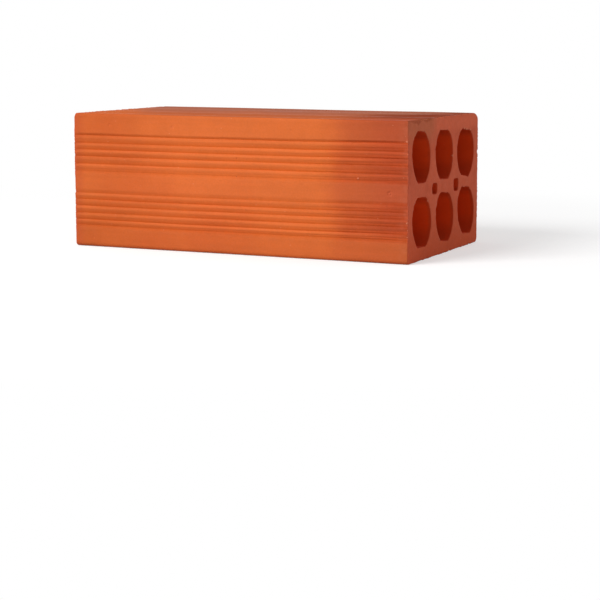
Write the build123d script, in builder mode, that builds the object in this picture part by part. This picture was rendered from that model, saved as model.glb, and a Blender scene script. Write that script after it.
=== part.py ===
"""Hollow clay brick, extruded through a die, cut to length by a wire and fired.

The brick lies on a wide face. X runs along its length, the way the clay left
the die, Y across its width, and Z up. The origin is the middle of the
footprint. All sizes are in millimetres.
"""

import os
from math import asin, degrees

from build123d import *

# The block: the length between the two wire cuts, and the outer size of the die.
length = 240.0
width = 140.0
height = 90.0
corner_radius = 6.0

# Holes run the whole length, in columns across the width and rows up the
# height. The clay left round them is stated, so they take up all the rest.
hole_columns = 3
hole_rows = 2
side_wall = 8.5
face_wall = 8.0
web = 9.0

# A small slotted hole lightens each place where four webs meet.
slot_width = 10.0
slot_height = 7.0

# The die combs shallow grooves into all four faces, in bands with plain strips
# between them and a plain strip beside each rounded corner.
groove_pitch = 4.5
groove_depth = 1.2
plain_strip = 9.0
plain_beside_corner = 5.0
wide_face_band_count = 3
narrow_face_band_count = 2

hole_diameter = (width - 2 * side_wall - (hole_columns - 1) * web) / hole_columns
hole_height = (height - 2 * face_wall - (hole_rows - 1) * web) / hole_rows
column_pitch = hole_diameter + web
row_pitch = hole_height + web

# A groove and its crests are arcs of one radius that meet halfway down.
wave_radius = ((groove_pitch / 4) ** 2 + (groove_depth / 2) ** 2) / groove_depth
wave_turn = degrees(asin(groove_pitch / 4 / wave_radius))


def grooved_bands(face_width, bands):
    """Where each band of a face starts, from the corner, and its number of grooves.

    The bands are alike, and a middle one takes the odd grooves. The plain
    strips share what the bands leave, so the pattern stays centred.
    """
    plain = 2 * (corner_radius + plain_beside_corner) + (bands - 1) * plain_strip
    grooves = int((face_width - plain) / groove_pitch)
    counts = [grooves // bands] * bands
    if bands % 2:
        counts[bands // 2] += grooves % bands
    between_centres = (face_width - (sum(counts) - bands) * groove_pitch) / (bands + 1)
    strip = between_centres - groove_pitch
    starts = []
    start = between_centres - groove_pitch / 2
    for count in counts:
        starts.append((start, count))
        start += count * groove_pitch + strip
    return starts


def combed_face(corner, along, face_width, bands):
    """One face of the outline, from the rounding behind it to the end of the next."""
    place = corner + along * corner_radius
    for start, grooves in grooved_bands(face_width, bands):
        plain = Line(place, corner + along * start)
        place = plain @ 1
        for _ in range(grooves):
            down = JernArc(place, along, wave_radius, wave_turn)
            valley = JernArc(down @ 1, down % 1, wave_radius, -2 * wave_turn)
            up = JernArc(valley @ 1, valley % 1, wave_radius, wave_turn)
            place = up @ 1
    last = Line(place, corner + along * (face_width - corner_radius))
    JernArc(last @ 1, along, corner_radius, 90)


# Each hole is round, with a flat where it comes nearest to a wide face and to
# the web between the rows.
with BuildSketch() as hole:
    Circle(hole_diameter / 2)
    Rectangle(hole_diameter, hole_height, mode=Mode.INTERSECT)

# The section is drawn across the middle of the brick and extruded both ways.
section_plane = Plane(origin=(0, 0, height / 2), x_dir=(0, 1, 0), z_dir=(1, 0, 0))

with BuildPart() as brick:
    with BuildSketch(section_plane):
        with BuildLine():
            right = width / 2
            top = height / 2
            combed_face(Vector(-right, -top), Vector(1, 0), width, wide_face_band_count)
            combed_face(Vector(right, -top), Vector(0, 1), height, narrow_face_band_count)
            combed_face(Vector(right, top), Vector(-1, 0), width, wide_face_band_count)
            combed_face(Vector(-right, top), Vector(0, -1), height, narrow_face_band_count)
        make_face()
        with GridLocations(column_pitch, row_pitch, hole_columns, hole_rows):
            add(hole.sketch, mode=Mode.SUBTRACT)
        with GridLocations(column_pitch, row_pitch, hole_columns - 1, hole_rows - 1):
            SlotOverall(slot_width, slot_height, mode=Mode.SUBTRACT)
    extrude(amount=length / 2, both=True)

brick.part.label = "brick"
os.makedirs("parts", exist_ok=True)
export_step(brick.part, "parts/brick.step")
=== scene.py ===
"""Hollow clay brick, extruded, wire-cut and fired, on a pale floor in soft studio light."""

import math

import bmesh
import bpy
import numpy as np
from mathutils import Matrix, Vector, noise


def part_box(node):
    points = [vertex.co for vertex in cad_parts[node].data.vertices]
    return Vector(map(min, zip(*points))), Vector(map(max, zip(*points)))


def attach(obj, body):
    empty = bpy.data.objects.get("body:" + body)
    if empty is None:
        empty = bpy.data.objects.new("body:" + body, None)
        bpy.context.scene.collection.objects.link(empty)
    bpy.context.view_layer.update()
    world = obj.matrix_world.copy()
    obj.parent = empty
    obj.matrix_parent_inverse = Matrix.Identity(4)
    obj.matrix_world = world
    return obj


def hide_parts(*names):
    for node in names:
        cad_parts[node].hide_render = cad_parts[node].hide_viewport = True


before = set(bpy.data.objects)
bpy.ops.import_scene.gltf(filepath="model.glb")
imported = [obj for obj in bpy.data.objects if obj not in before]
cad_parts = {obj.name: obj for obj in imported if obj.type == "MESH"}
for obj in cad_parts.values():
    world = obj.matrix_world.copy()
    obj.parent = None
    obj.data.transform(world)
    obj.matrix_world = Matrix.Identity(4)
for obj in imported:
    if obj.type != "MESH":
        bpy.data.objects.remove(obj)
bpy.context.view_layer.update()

# The clay body. One piece of terracotta, pressed through a die whose plate
# gives the combed outline and whose cores leave the holes, then cut by wires.
# Its section is drawn as a wire of points and drawn out along X, like the clay.
MM = 0.001
_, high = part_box("brick")
half_length = high.x
half_width = high.y
height = high.z
corner_radius = 6 * MM
side_wall = 8.5 * MM
face_wall = 8 * MM
web = 9 * MM
hole_columns = 3
hole_rows = 2
slot_width = 10 * MM
slot_height = 7 * MM
groove_pitch = 4.5 * MM
groove_depth = 1.2 * MM
plain_strip = 9 * MM
plain_beside_corner = 5 * MM
wide_face_bands = 3
narrow_face_bands = 2

hole_diameter = (2 * half_width - 2 * side_wall - (hole_columns - 1) * web) / hole_columns
hole_height = (height - 2 * face_wall - (hole_rows - 1) * web) / hole_rows
column_pitch = hole_diameter + web
row_pitch = hole_height + web

# The die is worn: each corner has a rounding of its own, by its side of Y and of
# Z, which reaches so far along Y and so far along Z. The comb's teeth, filed by
# hand, stand a little off their even places. Both start at the top of the side
# that is seen and go down and round.
worn_corners = {
    (-1, 1): (1.3 * MM, 1.3 * MM),
    (-1, -1): (2.8 * MM, 2.8 * MM),
    (1, -1): (3.5 * MM, 3.5 * MM),
    (1, 1): (10.5 * MM, 5.0 * MM),
}
filed_off = [-0.2, 0.45, 0.4, 0.45, 0.95, 1.1, 1.0, 0.95, 0.8, 1.0, 1.15, 0.3]

# A groove, in shares of the pitch: its points, its valley, the width of its
# steep side, of the first groove's outer side and of the last one's, and, past
# the valley, its steep side again, its lip, its notch and its ridge.
across_groove = [0, 0.07, 0.14, 0.21, 0.31, 0.40, 0.46, 0.50, 0.54, 0.60, 0.68, 0.77, 0.86]
valley_at = 0.5
steep_share = 0.32
first_share = 0.42
last_share = 0.48
steep_starts = (0.0, 0.06)
steep_ends = (0.30, 0.46)
lip_at = 0.36
lip_spread = 0.10
notch_at = -0.36
ridge_at = -0.19
notch_spread = 0.085

# The hollowness of a groove's sides, and how deep the worn grooves are: those
# beside the plain strips in the middle of a face, and the last of a band.
side_curve = 1.3
long_side_curve = 1.4
worn_groove = 0.6
worn_last = 0.8

strip_step = 1.4 * MM
points_per_corner = 8
points_per_hole = 132
points_per_slot = 32
hole_wobble = 0.55 * MM
hole_shrinkage = 0.4
core_wear = 0.35 * MM
slender_rise = 0.45
slot_squareness = 0.7
rounding_error = 1e-6
plain_shape = (0.0, 0.0, 0.0, 0.0)
seed_x, seed_y, seed_z = (17.3, 5.9, -11.7)


def grooved_bands(face, bands):
    """Where each band of a face starts, from the corner, and its number of grooves."""
    plain = 2 * (corner_radius + plain_beside_corner) + (bands - 1) * plain_strip
    grooves = int((face - plain) / groove_pitch + rounding_error)
    counts = [grooves // bands] * bands
    if bands % 2:
        counts[bands // 2] += grooves % bands
    between_centres = (face - (sum(counts) - bands) * groove_pitch) / (bands + 1)
    starts = []
    start = between_centres - groove_pitch / 2
    for count in counts:
        starts.append((start, count))
        start += count * groove_pitch + between_centres - groove_pitch
    return starts


def evenly(start, end, step):
    """Places from start up to, but not at, end, about one step apart."""
    count = max(1, round((end - start) / step))
    return [start + (end - start) * i / count for i in range(count)]


def clamp(value, lowest, highest):
    return max(lowest, min(highest, value))


def smooth(value, start, end):
    """Eases from 0 at start to 1 at end."""
    t = clamp((value - start) / (end - start), 0.0, 1.0)
    return t * t * (3 - 2 * t)


def uneven(seed, *places):
    """Smooth noise between about -1 and 1 at places already divided by the size of its lumps."""
    a, b, c = (list(places) + [0, 0])[:3]
    return noise.noise(Vector((a + seed_x * seed, b + seed_y * seed, c + seed_z * seed)))


def bell(value, middle, spread):
    """1 at its middle, dying away to both sides."""
    return math.exp(-(((value - middle) / spread) ** 2))


def groove_shape(across, first, last):
    """The groove at a share of the way across it: its depth, lip, steep side and notch.

    The comb's teeth leave a sharp valley with one steep side and one long one,
    which runs on from the crest of the groove before. The lip is the crest of
    the steep side. A worn tooth leaves a notch and a ridge on the long side.
    """
    past = across - valley_at
    lip = 0.0 if last else bell(past, lip_at, lip_spread)
    steep = 0.0 if last else smooth(past, *steep_starts) * (1 - smooth(past, *steep_ends))
    rise = last_share if last else steep_share
    if past > rise:
        past = -1.0 if last else past - 1
    if past > 0:
        return (1 - past / rise) ** side_curve, lip, steep, 0.0
    if first:
        return max(0.0, 1 + past / first_share) ** side_curve, lip, steep, 0.0
    notch = bell(past, notch_at, notch_spread) - bell(past, ridge_at, notch_spread)
    return max(0.0, 1 + past / (1 - steep_share)) ** long_side_curve, lip, steep, notch


def combed_outline():
    """The die plate's outline: points of y, z and the four shares of a groove's shape."""
    points = []
    corners = list(worn_corners)
    teeth = 0
    for corner, following in zip(corners, corners[1:] + corners[:1]):
        begin = (corner[0] * half_width, height * (corner[1] + 1) / 2)
        along = ((following[0] - corner[0]) / 2, (following[1] - corner[1]) / 2)
        face, bands = (2 * half_width, wide_face_bands) if along[0] else (height, narrow_face_bands)
        axis = 0 if along[0] else 1

        def put(u, inward, shape=plain_shape):
            y = begin[0] + along[0] * u - along[1] * inward
            z = begin[1] + along[1] * u + along[0] * inward
            points.append((y, z, shape))

        place = worn_corners[corner][axis]
        for band, (start, grooves) in enumerate(grooved_bands(face, bands)):
            for u in evenly(place, start, strip_step):
                put(u, 0)
            shifts = [filed_off[(teeth + i) % len(filed_off)] * MM for i in range(grooves)]
            teeth += grooves
            for groove in range(grooves):
                beside_middle = (band > 0 and groove == 0) or (band < bands - 1 and groove == grooves - 1)
                share = worn_groove if beside_middle else (worn_last if groove == grooves - 1 else 1.0)
                for across in across_groove:
                    depth, *others = groove_shape(across, groove == 0, groove == grooves - 1)
                    from_valley = groove + across - valley_at
                    shift = float(np.interp(from_valley, [-valley_at, *range(grooves)], [0, *shifts]))
                    u = start + (groove + across) * groove_pitch + shift
                    put(u, share * depth * groove_depth, (share * depth, *others))
            place = start + grooves * groove_pitch + shifts[-1]
        reach = worn_corners[following]
        end = face - reach[axis]
        for u in evenly(place, end, strip_step):
            put(u, 0)
        for i in range(points_per_corner):
            turn = math.pi / 2 * i / points_per_corner
            put(end + reach[axis] * math.sin(turn), reach[1 - axis] * (1 - math.cos(turn)))
    return points


def core_radius(turn, lean, slender):
    """How far a core reached in a direction. It was swollen to the upper left by its lean."""
    worn_core = core_wear * (1 + math.sin(3 * turn)) - lean * math.sin(2 * turn)
    return hole_diameter / 2 + worn_core - slender * math.cos(turn) ** 2


def hole_outline(y, z, lean, tilt, slender):
    """A long hole: an uneven circle with a flat above and below."""
    points = []
    for i in range(points_per_hole):
        turn = 2 * math.pi * i / points_per_hole
        spot = (y / MM, z / MM + math.cos(turn), math.sin(turn))
        radius = core_radius(turn, lean, slender) + hole_wobble * (uneven(71, *spot) - hole_shrinkage)
        flat = hole_height / 2 + hole_wobble * (uneven(73, *spot) - hole_shrinkage)
        flat += slender_rise * slender
        across = radius * math.cos(turn)
        rise = clamp(radius * math.sin(turn), tilt * across - flat, tilt * across + flat)
        points.append((y + across, z + rise, plain_shape))
    return points


def slot_outline(y, z, taller):
    """The small slotted hole where four webs meet, with ends that are nearly square."""
    points = []
    straight = (slot_width - slot_height) / 2
    for i in range(points_per_slot):
        turn = 2 * math.pi * (i + 0.5) / points_per_slot
        across = math.copysign(abs(math.cos(turn)) ** slot_squareness, math.cos(turn))
        rise = math.copysign(abs(math.sin(turn)) ** slot_squareness, math.sin(turn))
        side = y + math.copysign(straight, across) + slot_height / 2 * across
        points.append((side, z + (slot_height + taller) / 2 * rise, plain_shape))
    return points


groove_shares = ("valley", "lip", "steep", "notch")


def deselect_all():
    if bpy.context.object and bpy.context.object.mode == "EDIT":
        bpy.ops.object.mode_set(mode="OBJECT")
    bpy.ops.object.select_all(action="DESELECT")


def drawn_out(name, outlines, stations, in_hole):
    """A wire of closed outlines at the first station, extruded from each station to the next."""
    deselect_all()
    places = []
    edges = []
    shapes = []
    for outline in outlines:
        first = len(places)
        for i, (y, z, shape) in enumerate(outline):
            places.append((stations[0], y, z))
            shapes.append(shape)
            edges.append((first + i, first + (i + 1) % len(outline)))
    mesh = bpy.data.meshes.new(name)
    mesh.from_pydata(places, edges, [])
    for share, values in zip(groove_shares, zip(*shapes)):
        mesh.attributes.new(share, "FLOAT", "POINT").data.foreach_set("value", values)
    mesh.attributes.new("bore", "FLOAT", "POINT").data.foreach_set("value", [in_hole] * len(places))
    piece = bpy.data.objects.new(name, mesh)
    bpy.context.scene.collection.objects.link(piece)
    piece.select_set(True)
    bpy.context.view_layer.objects.active = piece
    bpy.ops.object.mode_set(mode="EDIT")
    bpy.ops.mesh.select_mode(type="EDGE")
    bpy.ops.mesh.select_all(action="SELECT")
    for here, there in zip(stations, stations[1:]):
        bpy.ops.mesh.extrude_edges_move(TRANSFORM_OT_translate={"value": (there - here, 0, 0)})
    bpy.ops.object.mode_set(mode="OBJECT")
    return piece


edge_rounding = 0.4 * MM
near_an_end = [0, 0.5 * MM, 1.1 * MM, 1.9 * MM, 3 * MM, 4.6 * MM, 7 * MM]
skin_step = 4.8 * MM
bore_step = 36 * MM


def stations_between_ends(step):
    """Places along X: close together near both ends, and a step apart between."""
    reach = half_length - edge_rounding
    first = [-reach + back for back in near_an_end]
    last = [reach - back for back in reversed(near_an_end)]
    return first[:-1] + evenly(first[-1], last[0], step) + last


# The cores that leave the holes had drifted a little in the die, so a hole lies
# up to 2 mm and a slot up to 3 mm from its place: across and up in millimetres,
# from the seen side backwards. After these come a hole's lean, the slope of its
# flats and how much slimmer it is, and a slot's extra height.
lower_drift = [(0.35, 0.1, 0.7, -0.04, 0), (0.9, -0.2, 0.8, -0.09, 0), (1.0, 0.2, 1.4, -0.06, 0)]
upper_drift = [(-0.9, 0.2, 0.8, -0.02, 0.8), (-0.7, -0.7, 0.3, -0.03, 0), (-0.7, -1.9, 0.1, -0.14, 0)]
slot_drift = [(2.9, -1.0, 0.2), (1.6, -1.6, 1.4)]
long_holes = []
slots = []
for row, drifts in enumerate((lower_drift, upper_drift)):
    for column, (across, up, lean, tilt, slender) in enumerate(drifts):
        y = (column - (hole_columns - 1) / 2) * column_pitch + across * MM
        z = height / 2 + (row - (hole_rows - 1) / 2) * row_pitch + up * MM
        long_holes.append((y, z, lean * MM, tilt, slender * MM))
for crossing, (across, up, taller) in enumerate(slot_drift):
    y = (crossing - (hole_columns - 2) / 2) * column_pitch + across * MM
    slots.append((y, height / 2 + up * MM, taller * MM))

brick = drawn_out("brick_body", [combed_outline()], stations_between_ends(skin_step), 0.0)
rims = [hole_outline(*hole) for hole in long_holes] + [slot_outline(*slot) for slot in slots]
drawn_out("bores", rims, stations_between_ends(bore_step), 1.0)
brick.select_set(True)
bpy.context.view_layer.objects.active = brick
bpy.ops.object.join()

# The two ends, where the wire went through. Each is filled across its outline
# and holes, its edges are rounded by two insets, and it is then divided into
# small even triangles that can carry the marks of the wire.
edge_insets = [(0.3, 0.6), (0.7, 0.4)]
cap_spans = [16 * MM, 8 * MM, 4 * MM, 2.2 * MM]
facing_end = 0.9
hair = 0.001 * MM


def choose(mode, rule):
    """Selects just those vertices, edges or faces of the brick that a rule holds for."""
    bpy.ops.mesh.select_mode(type=mode)
    bpy.ops.mesh.select_all(action="DESELECT")
    clay = bmesh.from_edit_mesh(brick.data)
    for element in {"VERT": clay.verts, "EDGE": clay.edges, "FACE": clay.faces}[mode]:
        if rule(element):
            element.select = True
    clay.select_flush_mode()
    bmesh.update_edit_mesh(brick.data)


def on_cut(face):
    """True for a face that lies flat in one of the two cuts."""
    return all(abs(v.co.x) > half_length - hair for v in face.verts)


def inside_cut(element):
    """True for an edge or vertex with nothing but such faces round it."""
    return all(on_cut(face) for face in element.link_faces)


bpy.ops.object.mode_set(mode="EDIT")
for end in (-1, 1):
    choose("EDGE", lambda edge: edge.is_boundary and edge.verts[0].co.x * end > 0)
    bpy.ops.mesh.fill(use_beauty=True)
bpy.ops.mesh.select_all(action="SELECT")
bpy.ops.mesh.normals_make_consistent(inside=False)
choose("FACE", lambda face: abs(face.normal.x) > facing_end)
for inward, outward in edge_insets:
    bpy.ops.mesh.inset(thickness=inward * edge_rounding, depth=outward * edge_rounding)
for span in cap_spans:
    choose("EDGE", lambda edge: inside_cut(edge) and edge.calc_length() > span)
    bpy.ops.mesh.subdivide(number_cuts=1)
    choose("FACE", on_cut)
    bpy.ops.mesh.quads_convert_to_tris()
    bpy.ops.mesh.beautify_fill(angle_limit=math.pi)
    choose("VERT", inside_cut)
    bpy.ops.mesh.vertices_smooth(factor=0.5, repeat=4)
    choose("FACE", on_cut)
    bpy.ops.mesh.beautify_fill(angle_limit=math.pi)

# Pits: small stones and bubbles that burst in the kiln. The clay round each is
# divided finely, so that the hollow is a real one. The first is beside the cut
# end of the side that is seen, with the stone still in it. Crumbs of clay that
# stuck to the skin have a depth below zero. A row has a pit's place, radius and
# depth in millimetres, and whether its stone is left.
pit_rows = [
    (107.8, -70, 43.7, 1.7, 0.55, True),
    (1.7, -70, 63.0, 0.8, 0.35, False),
    (-45.0, -70, 82.0, 1.2, 0.25, False),
    (-16.5, -70, 37.0, 0.7, 0.30, False),
    (-92.5, -70, 82.5, 0.8, 0.25, False),
    (-105.8, -70, 6.5, 0.7, 0.30, False),
    (40.0, -70, 82.0, 0.8, 0.20, False),
    (86.2, -70, 52.6, 0.8, -0.50, False),
    (119.2, -70, 76.2, 1.0, -0.90, False),
    (119.4, -70, 61.8, 0.7, -0.50, False),
    (119.4, -70, 32.4, 0.8, -0.60, False),
    (119.4, -70, 25.8, 0.7, -0.50, False),
    (61.0, -31.0, 90, 1.1, 0.40, False),
    (-33.0, 22.0, 90, 1.4, 0.45, True),
    (-88.0, -20.5, 90, 0.8, 0.35, False),
    (-61.0, 70, 45.5, 1.5, 0.50, True),
    (24.0, 70, 80.0, 0.9, 0.35, False),
    (83.0, 70, 12.0, 1.2, 0.40, False),
    (12.0, -24.0, 0, 1.3, 0.40, False),
]
pits = [(Vector(place) * MM, radius * MM, depth * MM, stone) for *place, radius, depth, stone in pit_rows]
pit_reach = 1.6
pit_fineness = 0.35 * MM
pit_passes = 5


def choose_long_edges_near_pits():
    """Selects the edges round the pits that are still longer than the pits need."""
    mesh = brick.data
    places = np.empty(3 * len(mesh.vertices))
    mesh.vertices.foreach_get("co", places)
    ends = np.empty(2 * len(mesh.edges), dtype=int)
    mesh.edges.foreach_get("vertices", ends)
    first = places.reshape(-1, 3)[ends[0::2]]
    second = places.reshape(-1, 3)[ends[1::2]]
    along = second - first
    span = np.linalg.norm(along, axis=1)
    chosen = np.zeros(len(span), dtype=bool)
    for centre, radius, depth, stone in pits:
        middle = np.array(centre)
        share = np.clip(((middle - first) * along).sum(axis=1) / np.maximum(span**2, hair**2), 0, 1)
        nearest = np.linalg.norm(first + along * share[:, None] - middle, axis=1)
        chosen |= (span > pit_fineness) & (nearest < pit_reach * radius)
    mesh.vertices.foreach_set("select", np.zeros(len(mesh.vertices), dtype=bool))
    mesh.polygons.foreach_set("select", np.zeros(len(mesh.polygons), dtype=bool))
    mesh.edges.foreach_set("select", chosen)


bpy.ops.mesh.select_mode(type="EDGE")
for _ in range(pit_passes):
    bpy.ops.object.mode_set(mode="OBJECT")
    choose_long_edges_near_pits()
    bpy.ops.object.mode_set(mode="EDIT")
    bpy.ops.mesh.subdivide(number_cuts=1)
bpy.ops.object.mode_set(mode="OBJECT")

# What drying, cutting and firing do to the shape: slow bends, uneven grooves,
# drag lines, rims that the wire left ragged, and worn or chipped edges. The wire
# leaned, so the seen end is cut further back at its top than at its foot. All of
# it goes inwards, so the brick keeps its size.
slow_bend = 0.22 * MM
skin_fades = 5 * MM
groove_sway = 0.35 * MM
lesser_sway = 0.3 * groove_sway
risen_end = 0.7 * MM
drag_line = 0.07 * MM
lip_height = 0.09 * MM
doubled_line = 0.60 * MM
second_notch = 0.20 * MM
arris_wear = 0.25 * MM
burr = 1.2 * MM
bite = 0.7 * MM
rim_pull = 0.15 * MM
bore_bend = 0.25 * MM
chip = 0.5 * MM
crumbling = 0.16 * MM
torn_lip = 0.3 * MM
cut_hollow = 0.22 * MM
wire_lean = 0.7 * MM
wire_reach = 40 * MM
worn_corner = Vector((-half_length, -half_width, height))
corner_wear = 0.30 * MM
corner_reach = 3 * MM
cut_fades = (0.3 * MM, 0.1 * MM)

# Where along X, towards the redder end, the grooves rise and fill up, and where
# their second notches and doubled lines come in, with the least of these two.
rising_x = (40 * MM, 105 * MM)
filling_x = (55 * MM, 100 * MM)
notched_x = (30 * MM, 85 * MM)
doubled_x = (50 * MM, 95 * MM)
least_notched = 0.1
least_doubled = 0.15
notch_fades = 3 * MM

# How uneven a groove's depth is, and how much of it was filled again, all over
# and towards the redder end, as shares of it.
uneven_depth = 0.25
filled_up = 0.08
filled_at_red_end = 0.3

# The wire pressed the grooves shut at the seen end and at the other one, by a
# share and over a length. The other end is less chipped and torn.
pressed_shut = {1: (0.85, 3.2 * MM), -1: (1.0, 2.6 * MM)}
other_end_chips = 0.5
other_end_tears = 0.3

# Where the noise is high enough for a chip and a torn crest, how far these reach
# in from an arris, and what share of a chip and of crumbs the end loses as well.
chipped_above = (0.42, 0.8)
torn_above = -0.25
chips_reach = 1.0 * MM
crumbs_reach = 0.7 * MM
tears_reach = 0.9 * MM
chips_from_end = 0.7
crumbs_from_end = 0.5

# How strong the wire's tears are round the calmest rims, where the noise makes
# them stronger, and how far they reach outside a rim and into a hole.
calm_rim = 0.4
rough_above = (-0.1, 0.6)
rough_upwards = 0.4
tears_past_rim = 0.9 * MM
tears_into_hole = 1.5 * MM

# How far up a place faces where the dusty film with its painted shade lies, where
# the painted shade on a hole's floor and roof begins, and how strong that painted
# shade is on the lower roofs, and on the upper ones on top of that.
shaded_film_above = (0.7, 0.98)
floor_below = (0.1, 0.8)
roof_above = (0.5, 0.85)
lower_roofs = 0.7
upper_roofs = 0.5

# A pit in shares of its radius: its wall, how ragged it is, the stone in it, how
# much of it the stone fills, and how far and how pale a pit and a crumb show.
pit_wall = (0.45, 1.25)
ragged_pit = 0.15
stone_side = (0.15, 0.5)
stone_height = 0.8
pale_reach = 1.3
pale_fades = 0.6
pale_pit = 0.35
pale_crumb = 0.65
mark_names = ("cut", "broken", "arris", "upward", "combed", "shaded_floor_roof")


def uneven_share(seed, *places):
    """The smooth noise, between about 0 and 1."""
    return 0.5 + 0.5 * uneven(seed, *places)


def near(distance, reach):
    """1 at an edge, dying away over a reach from it."""
    return math.exp(-distance / reach)


def under_skin(y, z):
    """Depth below the die plate's plain outline, and the way out to it."""
    reach_y, reach_z = worn_corners[(1 if y > 0 else -1, 1 if z > height / 2 else -1)]
    from_side = half_width - abs(y)
    from_face = height / 2 - abs(z - height / 2)
    if from_side < reach_y or from_face < reach_z:
        share = Vector((max(1 - from_side / reach_y, 0), max(1 - from_face / reach_z, 0)))
        out = Vector((share[0] / reach_y, share[1] / reach_z))
        depth = (1 - share.length) * share.length / out.length
        out.normalize()
    else:
        out = Vector((1, 0)) if from_side < from_face else Vector((0, 1))
        depth = min(from_side, from_face)
    return depth, math.copysign(out[0], y), math.copysign(out[1], z - height / 2)


def beyond_rim(y, z):
    """Distance outside the nearest hole's rim, and the way from that hole's middle."""
    nearest = None
    for hole_y, hole_z, lean, tilt, slender in long_holes:
        out = Vector((y - hole_y, z - hole_z))
        round_part = out.length - core_radius(math.atan2(out[1], out[0]), lean, slender)
        beyond = max(round_part, abs(out[1] - tilt * out[0]) - hole_height / 2 - slender_rise * slender)
        if nearest is None or beyond < nearest[0]:
            nearest = (beyond, out)
    straight = (slot_width - slot_height) / 2
    for slot_y, slot_z, taller in slots:
        out = Vector((y - slot_y, z - slot_z))
        out[0] = math.copysign(max(abs(out[0]) - straight, 0), out[0])
        out[1] = math.copysign(max(abs(out[1]) - taller / 2, 0), out[1])
        beyond = out.length - slot_height / 2
        if beyond < nearest[0]:
            nearest = (beyond, out)
    beyond, out = nearest
    out = out.normalized()
    return beyond, out[0], out[1]


def groove_stray(side, x, groove):
    """How far a groove lies off its even line. Towards the redder end they all rise."""
    stray = groove_sway * uneven(side + 1, x / (95 * MM))
    stray += lesser_sway * uneven(side + 6, x / (38 * MM), groove * 1.7)
    return stray + risen_end * smooth(x, *rising_x)


def skin_depth(side, x, along, hollow, lip, notch):
    """How far the skin lies below the die plate's outline, and its share of a grooved band."""
    end = 1 if x > 0 else -1
    to_cut = half_length - abs(x)
    groove = math.floor(along / groove_pitch)
    shut, shut_reach = pressed_shut[end]
    below = slow_bend * uneven_share(side + 11, x / (65 * MM), along / (28 * MM))
    varied = uneven_depth * uneven(side + 16, x / (42 * MM), groove * 3.1)
    below += groove_depth * hollow * (varied - filled_up)
    below -= groove_depth * hollow * filled_at_red_end * smooth(x, *filling_x)
    below -= groove_depth * hollow * shut * near(to_cut, shut_reach)
    notched = least_notched + (1 - least_notched) * smooth(x, *notched_x)
    below += second_notch * notch * notched * (1 - near(to_cut, notch_fades))
    below += drag_line * uneven_share(side + 21, x / (24 * MM), along / (0.7 * MM))
    in_band = smooth(hollow + lip, 0.03, 0.2)
    below += lip_height * in_band * (1 - lip)
    rougher = least_doubled + (1 - least_doubled) * smooth(x, *doubled_x)
    doubled = max(0.0, uneven(side + 24, x / (55 * MM), along / (0.85 * MM)))
    below += doubled_line * in_band * rougher * doubled
    return below, in_band


def arris_damage(end, y, z, lip, from_arris):
    """Chips, crumbling and torn crests beside an arris, as shares."""
    wear = smooth(uneven(31 + end, y / (5 * MM), z / (5 * MM)), *chipped_above)
    wear *= near(from_arris, chips_reach)
    crumble = uneven_share(36 + end, y / (1.1 * MM), z / (1.1 * MM))
    crumble *= near(from_arris, crumbs_reach)
    torn = lip * max(0.0, uneven(38 + end, y / (3 * MM), z / (3 * MM)) - torn_above)
    torn *= near(from_arris, tears_reach)
    if end < 0:
        wear *= other_end_chips
        torn *= other_end_tears
    return wear, crumble, torn


def rim_tear(end, rim_y, rim_z, away_z):
    """How far the wire tore a rim, as a burr above 0 or a bite below it, and how strongly."""
    torn = uneven(41 + end, rim_y / (1.9 * MM), rim_z / (1.9 * MM))
    torn += 0.5 * uneven(44 + end, rim_y / (0.9 * MM), rim_z / (0.9 * MM))
    patch = uneven(47 + end, rim_y / (12 * MM), rim_z / (12 * MM)) + rough_upwards * away_z
    return torn, calm_rim + (1 - calm_rim) * smooth(patch, *rough_above)


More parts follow.
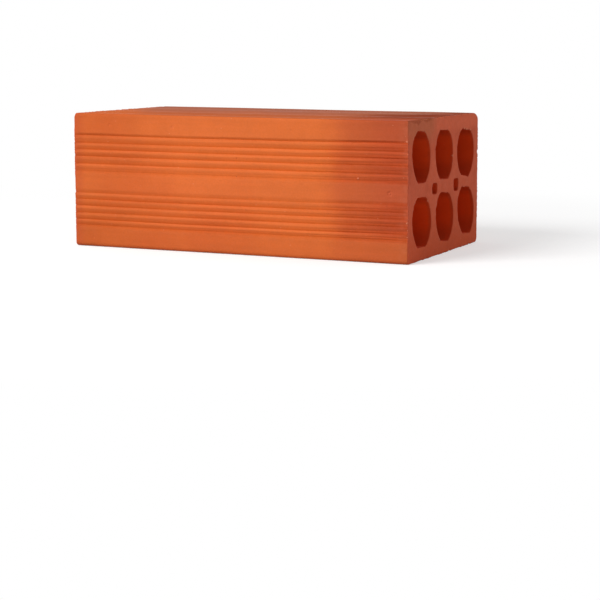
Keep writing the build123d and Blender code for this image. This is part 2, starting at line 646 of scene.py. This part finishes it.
def weathered(place, hollow, lip, notch, in_bore):
    """A point of the clay after cutting and firing, and its marks.

    The marks are shares from 0 to 1: in a cut end, broken, on an arris between
    two faces, facing up on the top, in a band of grooves, and on the floor or
    the roof of a hole, where the colour gets painted shade.
    """
    x, y, z = place
    end = 1 if x > 0 else -1
    to_cut = half_length - abs(x)
    on_end = smooth(to_cut, *cut_fades)
    broken = 0.0
    arris = 0.0
    upward = 0.0
    shaded_floor_roof = 0.0
    in_band = 0.0
    depth, out_y, out_z = under_skin(y, z)
    if in_bore < 0.5 or on_end > 0:
        side = round(math.atan2(out_z, out_y) / (math.pi / 2)) % 4
        along = z if side % 2 == 0 else y
        edge = height / 2 - abs(z - height / 2) if side % 2 == 0 else half_width - abs(y)
        near_skin = 1 - smooth(depth - hollow * groove_depth, 0, skin_fades)
        window = smooth(edge, corner_radius, corner_radius + plain_beside_corner)
        stray = groove_stray(side, x, math.floor(along / groove_pitch))
        inward, in_band = skin_depth(side, x, along, hollow, lip, notch)
        rounded = 2 * abs(out_y * out_z)
        arris = rounded * (1 - on_end)
        inward += arris_wear * rounded * uneven_share(side + 26, x / (14 * MM))
        upward = smooth(out_z, *shaded_film_above)
        from_arris = math.hypot(max(depth - hollow * groove_depth, 0) * on_end, to_cut)
        wear, crumble, torn = arris_damage(end, y, z, lip, from_arris)
        inward += chip * wear + crumbling * crumble + torn_lip * torn
        broken = max(wear, 0.6 * crumble**2, min(1.0, 2.0 * torn))
        y -= out_y * inward * near_skin
        z -= out_z * inward * near_skin
        if side % 2 == 0:
            z += stray * window * near_skin
        else:
            y += stray * window * near_skin
        x -= end * (chips_from_end * chip * wear + crumbs_from_end * crumbling * crumble)
    if in_bore > 0.5 or on_end > 0:
        beyond, away_y, away_z = beyond_rim(place[1], place[2])
        rim_y = place[1] - away_y * beyond
        rim_z = place[2] - away_z * beyond
        reach = near(max(beyond, 0), tears_past_rim) * near(to_cut, tears_into_hole)
        torn, strength = rim_tear(end, rim_y, rim_z, away_z)
        bend = bore_bend * uneven(51, rim_y / (8 * MM), rim_z / (8 * MM), x / (60 * MM))
        bend *= 1 - on_end if in_bore > 0.5 else reach
        move = -(burr if torn > 0 else bite) * torn * strength * reach + bend
        y += away_y * move
        z += away_z * move
        x -= end * abs(torn) * strength * rim_pull * reach
        broken = max(broken, min(1.0, abs(torn) * strength * reach * 1.3))
        roof = lower_roofs + upper_roofs * smooth(place[2], 0.45 * height, 0.6 * height)
        shaded_floor_roof = max(smooth(-away_z, *floor_below), min(1.0, roof * smooth(away_z, *roof_above)))
    if on_end > 0:
        dished = uneven_share(55 + end, y / (16 * MM), z / (16 * MM))
        lumpy = uneven_share(58 + end, y / (3.2 * MM), z / (6 * MM))
        x -= end * on_end * cut_hollow * (0.6 * dished + 0.4 * lumpy)
    from_corner = (place - worn_corner).length
    worn = corner_wear * (1 - smooth(from_corner, 0.3 * corner_reach, corner_reach))
    x += worn
    y += worn
    z -= worn
    for centre, radius, deep, stone in pits:
        from_pit = (place - centre).length / radius
        if from_pit < pit_reach and in_bore <= 0.5:
            ragged = from_pit + ragged_pit * uneven(61, x / MM, y / MM, z / MM)
            sunk = deep * (1 - smooth(ragged, *pit_wall))
            if stone:
                sunk -= stone_height * deep * (1 - smooth(from_pit, *stone_side))
            y -= out_y * sunk
            z -= out_z * sunk
            pale = pale_pit if deep > 0 else pale_crumb
            broken = max(broken, pale * smooth(pale_reach - from_pit, 0, pale_fades))
    if end > 0:
        x -= wire_lean * z / height * smooth(x, half_length - wire_reach, half_length)
    x = clamp(x, -half_length, half_length)
    y = clamp(y, -half_width, half_width)
    z = clamp(z, 0, height)
    marks = (on_end, clamp(broken, 0, 1), arris, upward, in_band * (1 - on_end), shaded_floor_roof)
    return Vector((x, y, z)), dict(zip(mark_names, marks))


points = brick.data.vertices
carried = {}
for name in (*groove_shares, "bore"):
    carried[name] = [item.value for item in brick.data.attributes[name].data]
all_marks = {}
for i, point in enumerate(points):
    if abs(point.co.x) > half_length - cut_fades[0]:
        carried["bore"][i] = 0.0
    hollow, lip, steep, notch, in_bore = (values[i] for values in carried.values())
    point.co, marks = weathered(point.co.copy(), hollow, lip, notch, in_bore)
    for name, share in marks.items():
        all_marks.setdefault(name, []).append(share)
    for name in groove_shares:
        carried[name][i] *= 1 - marks["cut"]
for name, values in carried.items():
    brick.data.attributes[name].data.foreach_set("value", values)
for name, values in all_marks.items():
    brick.data.attributes.new(name, "FLOAT", "POINT").data.foreach_set("value", values)

deselect_all()
brick.select_set(True)
bpy.context.view_layer.objects.active = brick
bpy.ops.object.mode_set(mode="EDIT")
bpy.ops.mesh.select_all(action="SELECT")
bpy.ops.mesh.quads_convert_to_tris()

# A flap that hangs by one edge, left by the cutting into triangles, is taken off.
choose("FACE", lambda face: sum(edge.is_boundary for edge in face.edges) > 1)
bpy.ops.mesh.delete(type="FACE")
bpy.ops.mesh.select_all(action="SELECT")
bpy.ops.mesh.normals_make_consistent(inside=False)
bpy.ops.object.mode_set(mode="OBJECT")
bpy.ops.object.shade_smooth()

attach(brick, "root")
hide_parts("brick")

# Fired clay. Iron in the clay burns it orange, redder where the kiln was
# hotter, at one end of this brick. The deep red inside the holes is painted
# shade, standing for the dim, bounced light in them. The skin carries drag
# lines along its length, the cut ends are duller, and fresh breaks are paler.
orange = (0.72, 0.164, 0.035)
deep_orange = (0.66, 0.132, 0.028)
flashed_red = (0.52, 0.092, 0.030)
edge_red = (0.52, 0.085, 0.024)
cut_clay = (0.65, 0.115, 0.048)
cut_pale = (0.71, 0.144, 0.065)
cut_dark = (0.58, 0.094, 0.036)
# Painted shade: a darker cut end towards its foot.
cut_low_shade = (0.635, 0.094, 0.028)
cut_top = (0.71, 0.134, 0.057)
scorched_rim = (0.45, 0.085, 0.028)
ash_stain = (0.56, 0.128, 0.052)
# Painted shade: a deep red for the dim, bounced light inside the holes.
bore_shade_red = (0.85, 0.073, 0.005)
# Painted light: a paler red in the lower holes, which get less light.
bore_light_low = (0.92, 0.078, 0.005)
# Painted shade: a duller red at the mouth of each hole, against the side softbox's light there.
bore_mouth_shade = (0.72, 0.072, 0.014)
# Painted shade on the floors and roofs of the holes.
bore_floor_shade = (0.60, 0.045, 0.004)
# The film on the top, darker than the side: dust and painted shade.
shaded_film_orange = (0.450, 0.092, 0.018)
shaded_film_red = (0.385, 0.058, 0.016)
shaded_film_pink = (0.360, 0.108, 0.057)
shaded_film_grey = (0.318, 0.105, 0.059)
top_dark_band = (0.205, 0.028, 0.004)
# A painted highlight on the steep sides and lips of the grooves.
lip_highlight = (0.84, 0.225, 0.062)
fresh_break = (0.82, 0.30, 0.165)
pale_grog = (0.85, 0.42, 0.24)
iron_spot = (0.20, 0.045, 0.022)

# Tints that the colour under them is multiplied by.
upper_tint = (0.97, 0.97, 0.93)
# Painted shade towards the foot, and below it low on the left.
foot_shade_tint = (0.94, 0.92, 0.88)
low_left_shade_tint = (0.95, 0.93, 0.90)
# Painted shade that evens out the softbox's stronger light on the left.
left_shade_tint = (0.92, 0.89, 0.80)
hot_top_tint = (0.95, 0.93, 0.94)
# Painted shade of the grooved bands, deeper and redder at the redder end.
comb_shade_tint = (0.98, 0.97, 0.93)
hot_comb_shade_tint = (0.98, 0.81, 0.64)
# Painted shade in the valleys of the grooves and along their long sides.
valley_shade_tint = (0.97, 0.83, 0.46)
arris_tint = (0.95, 0.87, 0.82)
rubbed_tint = (0.97, 1.0, 1.08)

# Where each tint starts and is full, in metres along X, back along Y and up Z.
flash_x = (0.056, 0.084)
red_end_x = (0.080, 0.114)
less_red_foot_z = (0.010, 0.022)
upper_z = (0.068, 0.082)
# Where the painted shade at the foot and low on the left starts and is full.
foot_shade_z = (0.024, 0.008)
low_left_shade_x = (-0.070, -0.105)
low_left_shade_z = (0.030, 0.014)
# Where the painted shade on the left starts and is full.
left_shade_x = (-0.030, -0.105)
hot_top_z = (0.074, 0.086)
left_edge_x = (-0.110, -0.1195)
# Where the shaded film turns greyer towards the back, and where its dark band lies along X.
shaded_film_back_y = (-0.062, 0.030)
top_dark_band_x = (0.042, 0.090)
dark_front_y = (-0.058, -0.018)
dark_back_y = (0.030, -0.006)
near_cut_x = (0.111, 0.1195)
# Where the painted shade at the foot of the cut end starts and is full.
cut_low_shade_z = (0.034, 0.0)
cut_top_z = (0.076, 0.084)
ash_y = (-0.010, -0.030)
ash_z = (0.070, 0.084)
scorched_y = (-0.022, -0.030)
scorched_z = (0.0875, 0.0890)
seen_half_x = (0.0, 0.1)
# Where the painted light in the lower holes starts and is full.
bore_light_low_z = (0.048, 0.036)
# Where the painted shade at the mouths of the holes starts and is full.
bore_mouth_shade_x = (0.1165, 0.1195)

# How red the redder end is by its ragged patch and by its even part, and the
# share of that at its foot, of the red at the left edge, and of the painted shade
# on the hole floors.
flash_ragged = 0.6
flash_even = 0.4
less_red_foot = 0.45
left_edge_share = 0.6
floor_shade_share = 0.95

# Near the seen end the dark band on the top is wider: its back edge and its
# front edge move, over a length of X and by so much. At the other end the dusty,
# shaded film is thinner, up to a slanting line across the front corner.
band_back_x = (0.085, 0.118)
band_back_moves = 0.05
band_front_x = (0.1155, 0.119)
band_front_moves = 0.03
thin_corner_x = 0.074
thin_corner_y = 0.070
thin_corner_slope = 0.47
thin_corner_fades = (-0.012, 0.016)
thin_corner_share = 0.5

# How far noise makes an edge of a tint ragged along X and up Z, in metres.
ragged_by_x = 0.03
ragged_by_z = 0.010

# The dull surface, its bump, the height that this stands for, and the shares of
# the drag lines, the wire's lines and the pores in it.
gloss = 0.25
dustiness = 0.5
bump_strength = 0.4
bump_height = 0.12 * MM
line_relief = 0.8
wire_relief = 1.2
pore_relief = -0.6

clay = bpy.data.materials.new("fired_clay")
clay.use_nodes = True
nodes = clay.node_tree.nodes
body = nodes["Principled BSDF"]
body.inputs["Specular IOR Level"].default_value = gloss
body.inputs["Diffuse Roughness"].default_value = dustiness
where = nodes.new("ShaderNodeTexCoord").outputs["Object"]


def feed(socket, value):
    """Links a node's output to a socket, or sets the socket to a plain value."""
    if isinstance(value, bpy.types.NodeSocket):
        socket.id_data.links.new(value, socket)
    elif socket.type == "RGBA":
        socket.default_value = (*value, 1)
    else:
        socket.default_value = value


def stretched(x, y, z):
    """Object coordinates multiplied along each axis."""
    node = nodes.new("ShaderNodeMapping")
    feed(node.inputs["Vector"], where)
    node.inputs["Scale"].default_value = (x, y, z)
    return node.outputs["Vector"]


def cloudy(scale, detail=2, rough=0.5, at=None, seed=0):
    """Noise between 0 and 1, mostly near the middle."""
    node = nodes.new("ShaderNodeTexNoise")
    node.noise_dimensions = "4D"
    feed(node.inputs["Vector"], at or where)
    node.inputs["W"].default_value = seed
    node.inputs["Scale"].default_value = scale
    node.inputs["Detail"].default_value = detail
    node.inputs["Roughness"].default_value = rough
    return node.outputs["Fac"]


def range_of(value, start, end, low=0.0, high=1.0):
    """A value eased from one range into another and kept inside it."""
    node = nodes.new("ShaderNodeMapRange")
    node.interpolation_type = "SMOOTHSTEP"
    feed(node.inputs["Value"], value)
    for name, number in (("From Min", start), ("From Max", end), ("To Min", low), ("To Max", high)):
        node.inputs[name].default_value = number
    return node.outputs["Result"]


def worked_out(operation, first, second):
    """Two values put together by one of the Math node's operations."""
    node = nodes.new("ShaderNodeMath")
    node.operation = operation
    feed(node.inputs[0], first)
    feed(node.inputs[1], second)
    return node.outputs["Value"]


def times(first, second):
    return worked_out("MULTIPLY", first, second)


def plus(first, second):
    return worked_out("ADD", first, second)


def minus(first, second):
    return worked_out("SUBTRACT", first, second)


def blend(amount, under, over, kind="MIX"):
    """Lays one colour over another by an amount."""
    node = nodes.new("ShaderNodeMix")
    node.data_type = "RGBA"
    node.blend_type = kind
    feed(node.inputs["Factor"], amount)
    feed([s for s in node.inputs if s.name == "A" and s.type == "RGBA"][0], under)
    feed([s for s in node.inputs if s.name == "B" and s.type == "RGBA"][0], over)
    return [s for s in node.outputs if s.type == "RGBA"][0]


def tinted(amount, under, tint):
    """Multiplies a colour by a tint, by an amount."""
    return blend(amount, under, tint, "MULTIPLY")


def share_of(name):
    """A share that the mesh carries at its points."""
    node = nodes.new("ShaderNodeAttribute")
    node.attribute_name = name
    return node.outputs["Fac"]


def specks(scale, radius, seed):
    """Small round spots, one or none in each cell of a grid of the given scale."""
    node = nodes.new("ShaderNodeTexVoronoi")
    node.voronoi_dimensions = "4D"
    feed(node.inputs["Vector"], where)
    node.inputs["W"].default_value = seed
    node.inputs["Scale"].default_value = scale
    node.inputs["Randomness"].default_value = 1
    return range_of(node.outputs["Distance"], radius, 0.6 * radius)


axes = nodes.new("ShaderNodeSeparateXYZ")
feed(axes.inputs["Vector"], where)
along_x = axes.outputs["X"]
back_y = axes.outputs["Y"]
up_z = axes.outputs["Z"]
valley_share = share_of("valley")
bore_share = share_of("bore")
cut = share_of("cut")
broken = share_of("broken")
steep = share_of("steep")
arris = share_of("arris")
combed = share_of("combed")
upward = share_of("upward")
shaded_floor_roof = share_of("shaded_floor_roof")
skin = minus(minus(1.0, cut), bore_share)

# The skin: how hot each place was in the kiln, and tints for its parts, some
# of them painted shade.
firing = range_of(cloudy(9, 3, 0.55, seed=1), 0.35, 0.68)
colour = blend(firing, orange, deep_orange)
ragged_x = plus(along_x, times(minus(cloudy(28, 3, 0.6, seed=2), 0.5), ragged_by_x))
flash = range_of(ragged_x, *flash_x, 0.0, flash_ragged)
flash = plus(flash, range_of(along_x, *red_end_x, 0.0, flash_even))
flash = times(flash, range_of(up_z, *less_red_foot_z, less_red_foot, 1.0))
colour = blend(flash, colour, flashed_red)
colour = tinted(range_of(up_z, *upper_z), colour, upper_tint)
# Painted shade towards the foot and low on the left.
colour = tinted(range_of(up_z, *foot_shade_z), colour, foot_shade_tint)
low_left_shade = times(range_of(along_x, *low_left_shade_x), range_of(up_z, *low_left_shade_z))
colour = tinted(low_left_shade, colour, low_left_shade_tint)
# Painted shade towards the left, against the softbox's stronger light there.
colour = tinted(range_of(along_x, *left_shade_x), colour, left_shade_tint)
colour = tinted(times(flash, range_of(up_z, *hot_top_z)), colour, hot_top_tint)
# Painted shade of the grooved bands.
colour = tinted(combed, colour, comb_shade_tint)
colour = tinted(times(combed, flash), colour, hot_comb_shade_tint)
colour = blend(range_of(along_x, *left_edge_x, 0.0, left_edge_share), colour, edge_red)

# Streaks along the length, mottling and a fine grain make one tone for it all.
streaks = cloudy(1, 3, 0.6, stretched(9, 260, 260), seed=4)
streaks = range_of(streaks, 0.3, 0.7, 0.97, 1.025)
hairlines = range_of(cloudy(1, 1, 0.5, stretched(14, 760, 760), seed=16), 0.36, 0.62, -0.10, 0.06)
hairlines = times(hairlines, times(combed, range_of(flash, 0.0, 0.8, 0.25, 1.0)))
streaks = plus(streaks, hairlines)
mottle = range_of(cloudy(60, 4, 0.6, seed=5), 0.3, 0.7, 0.975, 1.025)
fine = range_of(cloudy(900, 3, 0.65, seed=6), 0.3, 0.7, 0.965, 1.035)
skin_tone = times(times(streaks, mottle), fine)
tone = nodes.new("ShaderNodeCombineXYZ")
for axis in "XYZ":
    feed(tone.inputs[axis], skin_tone)
colour = tinted(1.0, colour, tone.outputs["Vector"])

# The grooves: painted shade in their valleys and along their long sides, and a
# painted highlight on their steep sides and lips.
colour = tinted(times(valley_share, minus(1.0, steep)), colour, valley_shade_tint)
# The painted highlight on the steep sides, fainter towards the redder end.
lip_highlight_share = times(steep, range_of(streaks, 0.965, 1.025, 0.02, 0.16))
lip_highlight_share = times(lip_highlight_share, range_of(flash, 0.0, 1.0, 1.0, 0.12))
colour = blend(lip_highlight_share, colour, lip_highlight)

# The dusty film on the top, darker than the side as painted shade, greyer
# towards the back, with a dark band along it.
near_shaded_film = blend(flash, shaded_film_orange, shaded_film_red)
back_shaded_film = blend(flash, shaded_film_pink, shaded_film_grey)
shaded_film = blend(range_of(back_y, *shaded_film_back_y), near_shaded_film, back_shaded_film)
band_back = minus(back_y, range_of(along_x, *band_back_x, 0.0, band_back_moves))
band_front = plus(back_y, range_of(along_x, *band_front_x, 0.0, band_front_moves))
dark_band = times(range_of(band_front, *dark_front_y), range_of(band_back, *dark_back_y))
shaded_film = blend(times(dark_band, range_of(ragged_x, *top_dark_band_x)), shaded_film, top_dark_band)
shaded_film_share = times(upward, range_of(cloudy(30, 3, 0.6, seed=15), 0.2, 0.6, 0.8, 1.0))
past_corner = times(plus(back_y, thin_corner_y), thin_corner_slope)
past_corner = plus(plus(along_x, thin_corner_x), past_corner)
shaded_film_share = times(shaded_film_share, range_of(past_corner, *thin_corner_fades, thin_corner_share, 1.0))
colour = blend(shaded_film_share, colour, shaded_film)

# The edges: darker along the rounded arrises, and rubbed paler beside the cut.
arris_darkening = times(arris, range_of(cloudy(20, 2, seed=14), 0.3, 0.6, 0.4, 0.8))
colour = tinted(arris_darkening, colour, arris_tint)
near_cut = range_of(along_x, *near_cut_x)
colour = tinted(near_cut, colour, rubbed_tint)
rubbed = times(near_cut, range_of(cloudy(220, 2, 0.5, seed=18), 0.4, 0.65, 0.0, 0.10))
colour = blend(rubbed, colour, fresh_break)

# The cut ends: patchy, darker at the foot as painted shade, and with ash at the
# top of the seen end, where its rim is also scorched.
patches = cloudy(42, 3, 0.6, seed=7)
end_colour = blend(range_of(patches, 0.5, 0.72), cut_clay, cut_pale)
end_colour = blend(range_of(patches, 0.48, 0.3), end_colour, cut_dark)
end_colour = blend(range_of(up_z, *cut_low_shade_z), end_colour, cut_low_shade)
ragged_z = plus(up_z, times(minus(cloudy(90, 3, 0.6, seed=17), 0.5), ragged_by_z))
end_colour = blend(range_of(ragged_z, *cut_top_z), end_colour, cut_top)
seen_half = range_of(along_x, *seen_half_x)
ashy = times(times(range_of(back_y, *ash_y), range_of(ragged_z, *ash_z)), seen_half)
end_colour = blend(ashy, end_colour, ash_stain)
scorched = times(times(range_of(back_y, *scorched_y), range_of(ragged_z, *scorched_z)), seen_half)
end_colour = blend(scorched, end_colour, scorched_rim)
end_colour = tinted(1.0, end_colour, tone.outputs["Vector"])
colour = blend(cut, colour, end_colour)

# The holes, in painted light and shade: a deep red for their dim walls, paler in
# the lower holes as painted light, duller at the mouth as painted shade against
# the side softbox, and darker on their floors and roofs as painted shade.
bore_shaded_colour = blend(range_of(up_z, *bore_light_low_z), bore_shade_red, bore_light_low)
bore_shaded_colour = blend(range_of(along_x, *bore_mouth_shade_x), bore_shaded_colour, bore_mouth_shade)
bore_shaded_colour = blend(times(shaded_floor_roof, floor_shade_share), bore_shaded_colour, bore_floor_shade)
colour = blend(bore_share, colour, bore_shaded_colour)

# Breaks, and specks of pale grog and of iron, in a few places only.
colour = blend(range_of(broken, 0.25, 0.9, 0.0, 0.75), colour, fresh_break)
few = range_of(cloudy(160, 1, seed=8), 0.55, 0.62)
colour = blend(times(times(specks(520, 0.16, 1), few), 0.5), colour, pale_grog)
rare = range_of(cloudy(70, 1, seed=9), 0.6, 0.66)
colour = blend(times(times(specks(300, 0.13, 2), rare), 0.7), colour, iron_spot)
feed(body.inputs["Base Color"], colour)
feed(body.inputs["Roughness"], range_of(cloudy(300, 2, seed=10), 0.3, 0.7, 0.82, 0.95))

lines = times(cloudy(1, 4, 0.7, stretched(14, 900, 900), seed=11), skin)
wire_lines = times(cloudy(1, 3, 0.6, stretched(500, 900, 60), seed=12), cut)
grit = cloudy(1300, 4, 0.7, seed=13)
pores = times(specks(700, 0.22, 3), pore_relief)
relief = plus(times(lines, line_relief), times(wire_lines, wire_relief))
relief = plus(relief, plus(grit, pores))
bump = nodes.new("ShaderNodeBump")
feed(bump.inputs["Strength"], bump_strength)
feed(bump.inputs["Distance"], bump_height)
feed(bump.inputs["Height"], relief)
feed(body.inputs["Normal"], bump.outputs["Normal"])
brick.data.materials.clear()
brick.data.materials.append(clay)

# The floor is a wide sheet of white paper, seen white wherever nothing shades
# it. It keeps the brick's soft shadow and fades into the white all round.
floor_size = 8
paper_white = (0.6, 0.6, 0.6)
plain_white = (1, 1, 1)
floor_lift = 0.50
shadow_until = 0.22
white_from = 0.50
deselect_all()
bpy.ops.mesh.primitive_plane_add(size=floor_size)
floor = bpy.context.object
floor.name = "floor"
paper = bpy.data.materials.new("white_paper")
paper.use_nodes = True
sheet = paper.node_tree.nodes
matt = sheet["Principled BSDF"]
feed(matt.inputs["Base Color"], paper_white)
feed(matt.inputs["Roughness"], 1)
feed(matt.inputs["Specular IOR Level"], 0)
lift = sheet.new("ShaderNodeEmission")
feed(lift.inputs["Color"], plain_white)
feed(lift.inputs["Strength"], floor_lift)
lifted = sheet.new("ShaderNodeAddShader")
feed(lifted.inputs[0], matt.outputs["BSDF"])
feed(lifted.inputs[1], lift.outputs["Emission"])
white = sheet.new("ShaderNodeEmission")
feed(white.inputs["Color"], plain_white)
feed(white.inputs["Strength"], 1)
spot_on_floor = sheet.new("ShaderNodeTexCoord")
from_middle = sheet.new("ShaderNodeVectorMath")
from_middle.operation = "LENGTH"
feed(from_middle.inputs[0], spot_on_floor.outputs["Object"])
fade = sheet.new("ShaderNodeMapRange")
fade.interpolation_type = "SMOOTHSTEP"
feed(fade.inputs["From Min"], shadow_until)
feed(fade.inputs["From Max"], white_from)
feed(fade.inputs["Value"], from_middle.outputs["Value"])
faded = sheet.new("ShaderNodeMixShader")
feed(faded.inputs["Fac"], fade.outputs["Result"])
feed(faded.inputs[1], lifted.outputs["Shader"])
feed(faded.inputs[2], white.outputs["Emission"])
seen = sheet.new("ShaderNodeLightPath")
seen_sheet = sheet.new("ShaderNodeMixShader")
feed(seen_sheet.inputs["Fac"], seen.outputs["Is Camera Ray"])
feed(seen_sheet.inputs[1], matt.outputs["BSDF"])
feed(seen_sheet.inputs[2], faded.outputs["Shader"])
feed(sheet["Material Output"].inputs["Surface"], seen_sheet.outputs["Shader"])
floor.data.materials.append(paper)

# The white studio. The room gives an even light from all round, and is itself
# seen as plain white.
room_light = 0.36
studio = bpy.data.worlds.new("studio")
bpy.context.scene.world = studio
studio.use_nodes = True
room = studio.node_tree.nodes
ambient = room["Background"]
feed(ambient.inputs["Color"], plain_white)
feed(ambient.inputs["Strength"], room_light)
backdrop = room.new("ShaderNodeBackground")
feed(backdrop.inputs["Color"], plain_white)
feed(backdrop.inputs["Strength"], 1)
ray = room.new("ShaderNodeLightPath")
any_view = ray.outputs["Is Camera Ray"]
for kind in ("Is Transmission Ray", "Is Glossy Ray"):
    either = room.new("ShaderNodeMath")
    either.operation = "MAXIMUM"
    feed(either.inputs[0], any_view)
    feed(either.inputs[1], ray.outputs[kind])
    any_view = either.outputs["Value"]
choice = room.new("ShaderNodeMixShader")
feed(choice.inputs["Fac"], any_view)
feed(choice.inputs[1], ambient.outputs["Background"])
feed(choice.inputs[2], backdrop.outputs["Background"])
feed(room["World Output"].inputs["Surface"], choice.outputs["Shader"])

# One large softbox stands in front, to the left and above, and lights the long
# side. The end with the holes is left to the light of the room.
lit_place = Vector((0, 0, height / 2))


def add_lamp(name, place, width, tall, power):
    """An even lamp of a width and height in metres, turned towards the brick."""
    light = bpy.data.lights.new(name, "AREA")
    light.shape = "RECTANGLE"
    light.size = width
    light.size_y = tall
    light.energy = power
    lamp = bpy.data.objects.new(name, light)
    lamp.location = place
    lamp.rotation_euler = (lit_place - lamp.location).to_track_quat("-Z", "Y").to_euler()
    bpy.context.scene.collection.objects.link(lamp)


add_lamp("softbox", (-0.60, -1.22, 1.00), 0.9, 0.7, 25)

# A weaker softbox to the right, a little behind, lights the end with the holes
# without shining on the walls of the holes that are seen.
add_lamp("side_softbox", (1.5, 0.42, 0.35), 0.7, 0.7, 4)

# A low strip light stands behind, so that the back of the brick is seen well. It
# is no higher than the brick, so it shines on nothing that the camera sees.
add_lamp("back_strip", (-0.40, 1.50, 0.085), 1.0, 0.16, 8)

# The camera stands low in front, to the right of the brick, with a long lens.
azimuth = math.radians(23.77)
elevation = math.radians(8.78)
roll = math.radians(0.20)
distance = 1167 * MM
aim = Vector((15.93 * MM, 0, -38.33 * MM))
lens = 101.57
film_width = 36
back = Vector((
    math.sin(azimuth) * math.cos(elevation),
    -math.cos(azimuth) * math.cos(elevation),
    math.sin(elevation),
))
turned = (-back).to_track_quat("-Z", "Y").to_matrix() @ Matrix.Rotation(roll, 3, "Z")
camera = bpy.data.objects.new("camera", bpy.data.cameras.new("camera"))
bpy.context.scene.collection.objects.link(camera)
camera.location = aim + back * distance
camera.rotation_euler = turned.to_euler()
camera.data.lens = lens
camera.data.sensor_width = film_width
bpy.context.scene.camera = camera
bpy.context.scene.view_settings.view_transform = "Standard"
